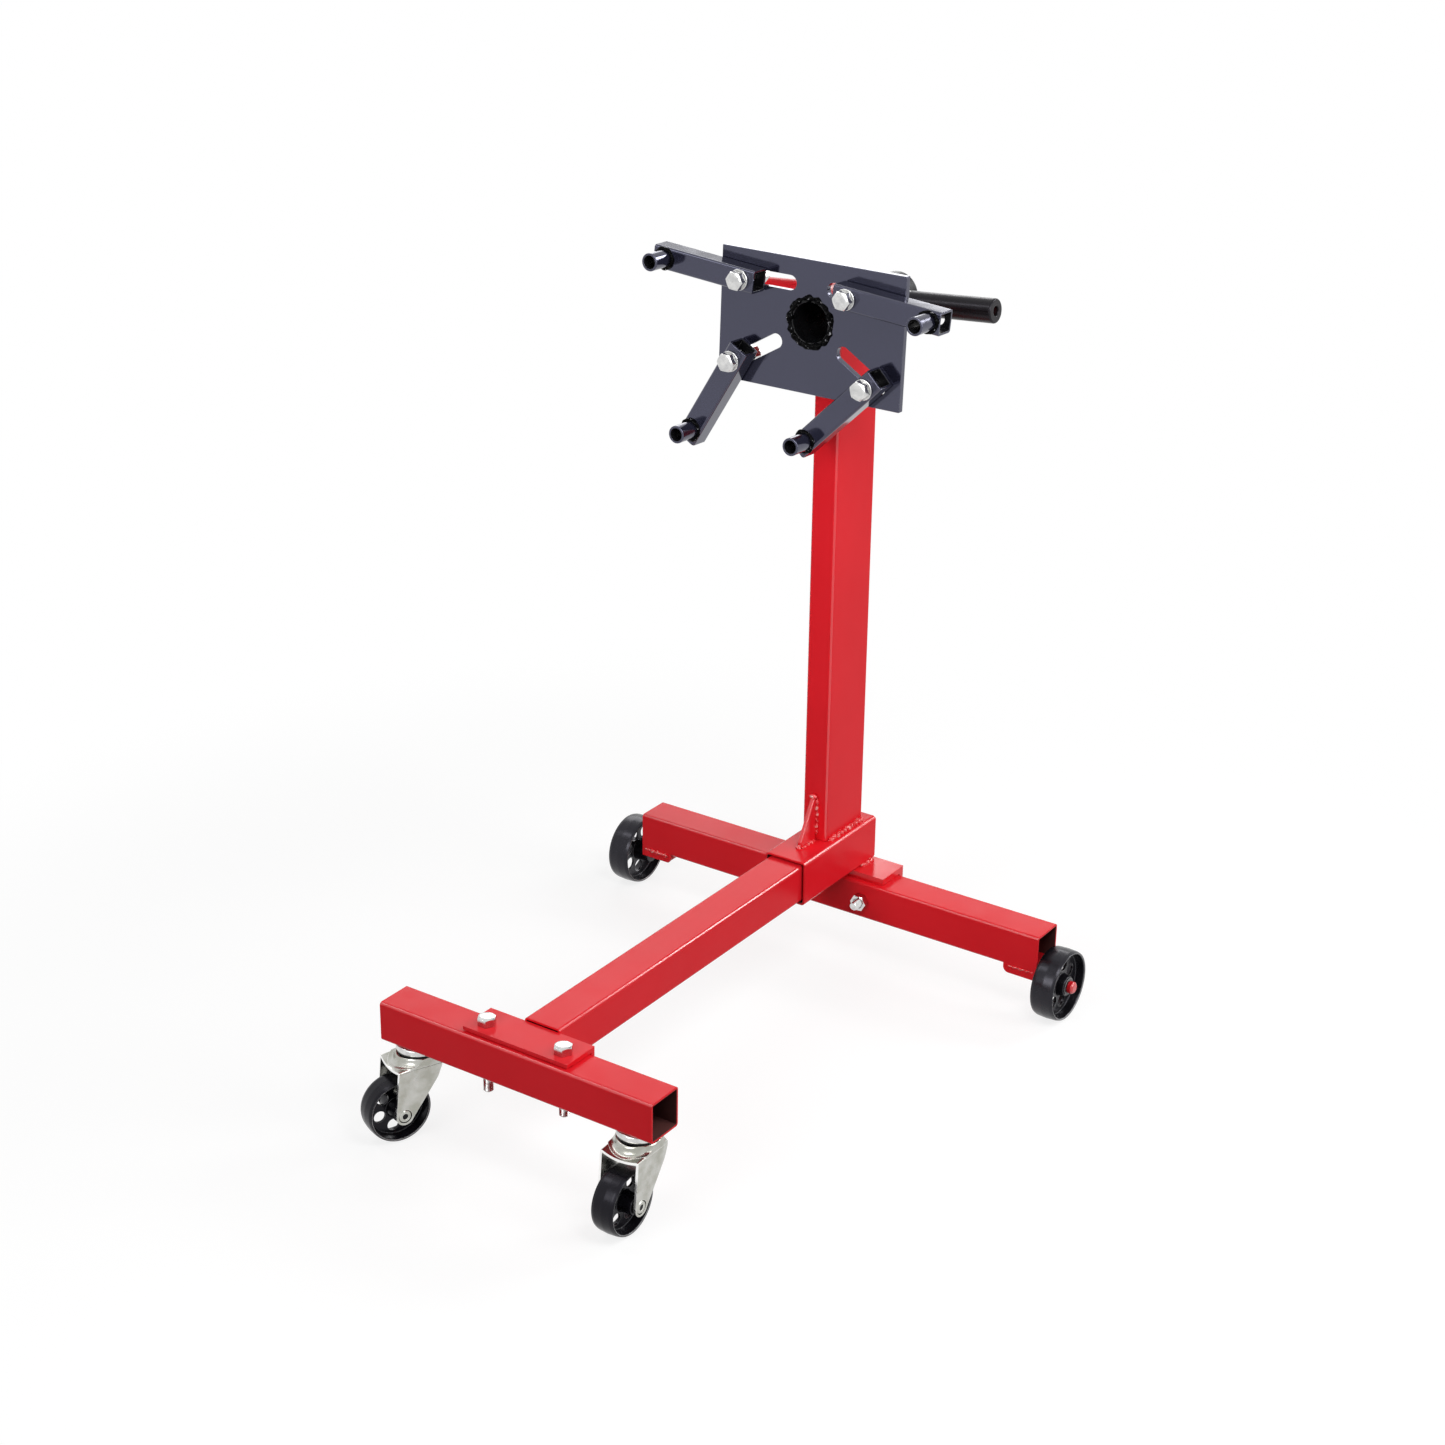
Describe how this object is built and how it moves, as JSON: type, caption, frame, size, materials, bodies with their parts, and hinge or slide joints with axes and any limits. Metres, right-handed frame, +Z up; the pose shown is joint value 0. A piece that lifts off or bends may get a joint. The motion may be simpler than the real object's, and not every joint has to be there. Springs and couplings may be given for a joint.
{
  "type": "engine stand",
  "caption": "Wheeled engine stand: a low T-shaped tube frame with a post and a turning slotted plate whose sliding arms bolt to an engine block.",
  "frame": {"origin": "on the floor, below the middle of the stand's box", "axes": "+Z up, +X along the cross beams to the handle side, -Y the engine side"},
  "size_m": [0.7127, 0.8421, 0.9599],
  "materials": {
    "red_paint": "gloss",
    "black_paint": "gloss",
    "zinc_steel": "zinc plated",
    "cast_black": "semi gloss",
    "grip_rubber": "satin"
  },
  "bodies": {
    "frame": {"axle_bracket_left": "red_paint", "axle_bracket_right": "red_paint", "base_sleeve": "red_paint", "caster_race_left": "zinc_steel", "caster_race_right": "zinc_steel", "centre_beam": "red_paint", "front_angle": "red_paint", "front_beam": "red_paint", "front_bolt_left": "zinc_steel", "front_bolt_right": "zinc_steel", "front_nut_left": "zinc_steel", "front_nut_right": "zinc_steel", "pivot_housing": "red_paint", "post": "red_paint", "post_gusset": "red_paint", "rear_axle_left": "red_paint", "rear_axle_right": "red_paint", "rear_beam": "red_paint", "saddle_angle": "red_paint", "saddle_bolt_left": "zinc_steel", "saddle_bolt_right": "zinc_steel", "saddle_nut_left": "zinc_steel", "saddle_nut_right": "zinc_steel"},
    "rear_wheel_left": {"rear_wheel_left": "cast_black"},
    "caster_left": {"caster_fork_left": "zinc_steel", "caster_rivet_left": "zinc_steel"},
    "caster_wheel_left": {"caster_wheel_left": "cast_black"},
    "rear_wheel_right": {"rear_wheel_right": "cast_black"},
    "caster_right": {"caster_fork_right": "zinc_steel", "caster_rivet_right": "zinc_steel"},
    "caster_wheel_right": {"caster_wheel_right": "cast_black"},
    "lock": {"lock_pin": "zinc_steel"},
    "head": {"spindle": "black_paint", "mount_plate": "black_paint", "handle_rod": "red_paint", "handle_grip": "grip_rubber"},
    "bolt_upper_left": {"arm_bolt_upper_left": "zinc_steel", "arm_washer_upper_left": "zinc_steel", "arm_nut_upper_left": "zinc_steel"},
    "arm_upper_left": {"arm_upper_left": "black_paint", "arm_tube_upper_left": "black_paint"},
    "bolt_upper_right": {"arm_bolt_upper_right": "zinc_steel", "arm_washer_upper_right": "zinc_steel", "arm_nut_upper_right": "zinc_steel"},
    "arm_upper_right": {"arm_upper_right": "black_paint", "arm_tube_upper_right": "black_paint"},
    "bolt_lower_left": {"arm_bolt_lower_left": "zinc_steel", "arm_washer_lower_left": "zinc_steel", "arm_nut_lower_left": "zinc_steel"},
    "arm_lower_left": {"arm_lower_left": "black_paint", "arm_tube_lower_left": "black_paint"},
    "bolt_lower_right": {"arm_bolt_lower_right": "zinc_steel", "arm_washer_lower_right": "zinc_steel", "arm_nut_lower_right": "zinc_steel"},
    "arm_lower_right": {"arm_lower_right": "black_paint", "arm_tube_lower_right": "black_paint"}
  },
  "joints": [
    {"name": "rear_wheel_left_spin", "type": "hinge", "parent": "frame", "child": "rear_wheel_left", "pos_m": [-0.3365, 0.33203, 0.047], "axis": [1, 0, 0], "continuous": true},
    {"name": "caster_left_swivel", "type": "hinge", "parent": "frame", "child": "caster_left", "pos_m": [-0.16, -0.34797, 0], "axis": [0, 0, 1], "continuous": true},
    {"name": "caster_left_spin", "type": "hinge", "parent": "caster_left", "child": "caster_wheel_left", "pos_m": [-0.17302, -0.3772, 0.0405], "axis": [0.9135, -0.4067, 0], "continuous": true},
    {"name": "rear_wheel_right_spin", "type": "hinge", "parent": "frame", "child": "rear_wheel_right", "pos_m": [0.328, 0.33203, 0.047], "axis": [1, 0, 0], "continuous": true},
    {"name": "caster_right_swivel", "type": "hinge", "parent": "frame", "child": "caster_right", "pos_m": [0.16, -0.34797, 0], "axis": [0, 0, 1], "continuous": true},
    {"name": "caster_right_spin", "type": "hinge", "parent": "caster_right", "child": "caster_wheel_right", "pos_m": [0.16, -0.37997, 0.0405], "axis": [1, 0, 0], "continuous": true},
    {"name": "lock_slide", "type": "slide", "parent": "frame", "child": "lock", "axis": [1, 0, 0], "range_m": [0, 0.012]},
    {"name": "head_turn", "type": "hinge", "parent": "frame", "child": "head", "pos_m": [0, 0.21763, 0.885], "axis": [0, -0.9992, 0.0401], "continuous": true},
    {"name": "bolt_upper_left_slide", "type": "slide", "parent": "head", "child": "bolt_upper_left", "axis": [-1, 0, 0], "range_m": [-0.0475, 0.016]},
    {"name": "arm_upper_left_swing", "type": "hinge", "parent": "bolt_upper_left", "child": "arm_upper_left", "pos_m": [-0.084, 0.21938, 0.92846], "axis": [0, -0.9992, 0.0401], "range_deg": [-60, 45]},
    {"name": "bolt_upper_right_slide", "type": "slide", "parent": "head", "child": "bolt_upper_right", "axis": [1, 0, 0], "range_m": [-0.0285, 0.035]},
    {"name": "arm_upper_right_swing", "type": "hinge", "parent": "bolt_upper_right", "child": "arm_upper_right", "pos_m": [0.065, 0.21938, 0.92846], "axis": [0, -0.9992, 0.0401], "range_deg": [-30, 60]},
    {"name": "bolt_lower_left_slide", "type": "slide", "parent": "head", "child": "bolt_lower_left", "axis": [-0.8572, -0.0207, -0.5146], "range_m": [-0.0465, 0.006]},
    {"name": "arm_lower_left_swing", "type": "hinge", "parent": "bolt_lower_left", "child": "arm_lower_left", "pos_m": [-0.0925, 0.21534, 0.82801], "axis": [0, -0.9992, 0.0401], "range_deg": [-30, 50]},
    {"name": "bolt_lower_right_slide", "type": "slide", "parent": "head", "child": "bolt_lower_right", "axis": [0.8572, -0.0207, -0.5146], "range_m": [-0.0494, 0.0031]},
    {"name": "arm_lower_right_swing", "type": "hinge", "parent": "bolt_lower_right", "child": "arm_lower_right", "pos_m": [0.09499, 0.21528, 0.82651], "axis": [0, -0.9992, 0.0401], "range_deg": [-15, 90]}
  ]
}
